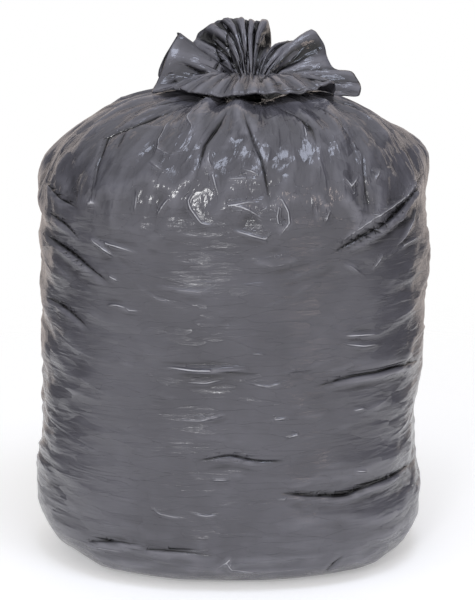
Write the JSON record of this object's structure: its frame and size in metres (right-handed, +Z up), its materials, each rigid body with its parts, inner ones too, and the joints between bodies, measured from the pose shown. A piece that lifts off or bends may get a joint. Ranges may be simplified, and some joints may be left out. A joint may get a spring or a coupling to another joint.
{
  "type": "full bin bag",
  "caption": "Full, tied bin bag that stands on its base, with a pleated shoulder, a gathered neck and an open ruffled mouth of loose film.",
  "frame": {"origin": "middle of the flat underside that the bag stands on", "axes": "+X to the right and +Y to the back as the picture shows it, +Z up towards the tied neck"},
  "size_m": [0.4869, 0.4479, 0.6576],
  "materials": {
    "film": "blown polyethylene film, mid grey, glossy, finely crinkled and slightly see-through where it is a single layer",
    "tie": "flat wire twist tie with a thin dark plastic coat"
  },
  "bodies": {
    "root": {"bag": "film", "neck_tie": "tie"}
  },
  "joints": []
}
